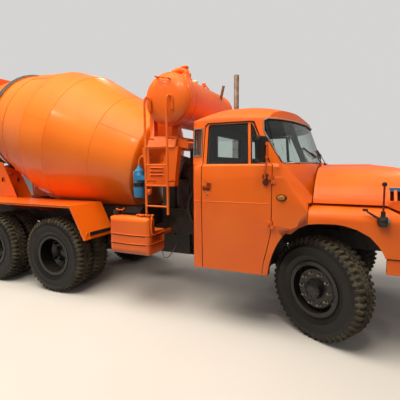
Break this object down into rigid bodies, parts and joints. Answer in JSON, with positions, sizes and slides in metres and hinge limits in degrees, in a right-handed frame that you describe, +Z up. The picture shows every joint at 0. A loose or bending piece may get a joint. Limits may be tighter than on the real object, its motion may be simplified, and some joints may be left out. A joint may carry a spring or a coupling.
{
  "type": "concrete mixer truck",
  "caption": "Bonneted three-axle concrete mixer truck with a tilted double-cone drum, water tank, hopper and swinging chute.",
  "frame": {"origin": "middle of the truck's box, on the ground", "axes": "+X forward, +Y to the truck's left, +Z up"},
  "size_m": [8.079, 2.8374, 3.501],
  "materials": {
    "orange_paint": "glossy orange enamel",
    "drum_paint": "glossy light orange enamel",
    "chassis_paint": "black chassis paint, satin",
    "engine_metal": "dull grey casting",
    "wheel_paint": "black wheel enamel",
    "tyre_rubber": "dusty black rubber",
    "cab_glass": "clear window glass",
    "lamp_glass": "lamp glass",
    "mirror_black": "black mirror and side lamp housings",
    "trim_black": "dark trim and seat covers",
    "grille_paint": "orange enamel in shade",
    "bare_steel": "rolled bare steel",
    "blue_paint": "blue enamel"
  },
  "bodies": {
    "truck": {"backbone_tube": "chassis_paint", "chassis_frame": "chassis_paint", "engine_block": "engine_metal", "half_axles": "chassis_paint", "rear_springs": "chassis_paint", "cab_shell": "orange_paint", "cab_glazing": "cab_glass", "cab_interior": "trim_black", "wings": "orange_paint", "headlamps": "lamp_glass", "front_bumper": "orange_paint", "exhaust_stack": "bare_steel", "air_cleaner": "chassis_paint", "fuel_tank": "orange_paint", "battery_box": "chassis_paint", "rear_mudguards": "orange_paint", "mixer_frame": "orange_paint", "drum_drive": "engine_metal", "filter_pair": "blue_paint", "side_lamps": "mirror_black", "rear_lamps": "mirror_black", "water_tank": "orange_paint", "tank_stand": "orange_paint", "ladder": "orange_paint", "hopper": "orange_paint", "discharge_funnel": "orange_paint"},
    "knuckle_left": {"knuckle_left": "chassis_paint"},
    "knuckle_right": {"knuckle_right": "chassis_paint"},
    "front_wheel_left": {"front_tyre_left": "tyre_rubber", "front_wheel_left": "wheel_paint"},
    "front_wheel_right": {"front_tyre_right": "tyre_rubber", "front_wheel_right": "wheel_paint"},
    "middle_pair_left": {"middle_tyres_left": "tyre_rubber", "middle_wheels_left": "wheel_paint"},
    "middle_pair_right": {"middle_tyres_right": "tyre_rubber", "middle_wheels_right": "wheel_paint"},
    "rear_pair_left": {"rear_tyres_left": "tyre_rubber", "rear_wheels_left": "wheel_paint"},
    "rear_pair_right": {"rear_tyres_right": "tyre_rubber", "rear_wheels_right": "wheel_paint"},
    "door_left": {"door_left": "orange_paint", "door_glass_left": "cab_glass", "mirror_left": "mirror_black"},
    "door_right": {"door_right": "orange_paint", "door_glass_right": "cab_glass", "mirror_right": "mirror_black"},
    "bonnet": {"bonnet": "orange_paint", "grille": "grille_paint"},
    "drum": {"drum_front": "drum_paint", "drum_middle": "drum_paint", "drum_rear": "drum_paint", "roller_track": "bare_steel"},
    "roller_left": {"roller_left": "bare_steel"},
    "roller_right": {"roller_right": "bare_steel"},
    "chute_swivel": {"chute_swivel": "chassis_paint"},
    "chute": {"chute": "orange_paint"}
  },
  "joints": [
    {"name": "steer_left", "type": "hinge", "parent": "truck", "child": "knuckle_left", "pos_m": [2.79951, 0.85, 0.542], "axis": [0, 0, 1], "range_deg": [-3, 65]},
    {"name": "steer_right", "type": "hinge", "parent": "truck", "child": "knuckle_right", "pos_m": [2.79951, -0.85, 0.542], "axis": [0, 0, 1], "range_deg": [-3, 65]},
    {"name": "spin_front_left", "type": "hinge", "parent": "knuckle_left", "child": "front_wheel_left", "pos_m": [2.85874, 0.94857, 0.542], "axis": [0.515, 0.8572, 0], "continuous": true},
    {"name": "spin_front_right", "type": "hinge", "parent": "knuckle_right", "child": "front_wheel_right", "pos_m": [2.74028, -0.94857, 0.542], "axis": [0.515, 0.8572, 0], "continuous": true},
    {"name": "spin_middle_left", "type": "hinge", "parent": "truck", "child": "middle_pair_left", "pos_m": [-0.89049, 0.882, 0.542], "axis": [0, 1, 0], "continuous": true},
    {"name": "spin_middle_right", "type": "hinge", "parent": "truck", "child": "middle_pair_right", "pos_m": [-0.89049, -0.882, 0.542], "axis": [0, 1, 0], "continuous": true},
    {"name": "spin_rear_left", "type": "hinge", "parent": "truck", "child": "rear_pair_left", "pos_m": [-2.21049, 0.882, 0.542], "axis": [0, 1, 0], "continuous": true},
    {"name": "spin_rear_right", "type": "hinge", "parent": "truck", "child": "rear_pair_right", "pos_m": [-2.21049, -0.882, 0.542], "axis": [0, 1, 0], "continuous": true},
    {"name": "door_left_hinge", "type": "hinge", "parent": "truck", "child": "door_left", "pos_m": [2.27351, 1.216, 1.2], "axis": [0, 0, -1], "range_deg": [0, 68]},
    {"name": "door_right_hinge", "type": "hinge", "parent": "truck", "child": "door_right", "pos_m": [2.27351, -1.216, 1.2], "axis": [0, 0, 1], "range_deg": [0, 68]},
    {"name": "bonnet_hinge", "type": "hinge", "parent": "truck", "child": "bonnet", "pos_m": [2.66951, 0, 1.838], "axis": [0, -1, 0], "range_deg": [0, 50]},
    {"name": "drum_spin", "type": "hinge", "parent": "truck", "child": "drum", "pos_m": [-0.70049, 0, 2.107], "axis": [-0.9627, 0, 0.2706], "continuous": true},
    {"name": "roller_spin_left", "type": "hinge", "parent": "truck", "child": "roller_left", "pos_m": [-2.69089, 0.46502, 1.71845], "axis": [-0.9627, 0, 0.2706], "continuous": true},
    {"name": "roller_spin_right", "type": "hinge", "parent": "truck", "child": "roller_right", "pos_m": [-2.69089, -0.46502, 1.71845], "axis": [-0.9627, 0, 0.2706], "continuous": true},
    {"name": "chute_turn", "type": "hinge", "parent": "truck", "child": "chute_swivel", "pos_m": [-3.53075, 0, 1.93], "axis": [0, 0, 1], "range_deg": [-80, 80]},
    {"name": "chute_tilt", "type": "hinge", "parent": "chute_swivel", "child": "chute", "pos_m": [-3.53075, 0, 1.75], "axis": [0, 1, 0], "range_deg": [-15, 20]}
  ],
  "couplings": [
    {"joint": "steer_right", "follows": "steer_left", "ratio": 1},
    {"joint": "roller_spin_left", "follows": "drum_spin", "ratio": -7.192},
    {"joint": "roller_spin_right", "follows": "drum_spin", "ratio": -7.192}
  ]
}
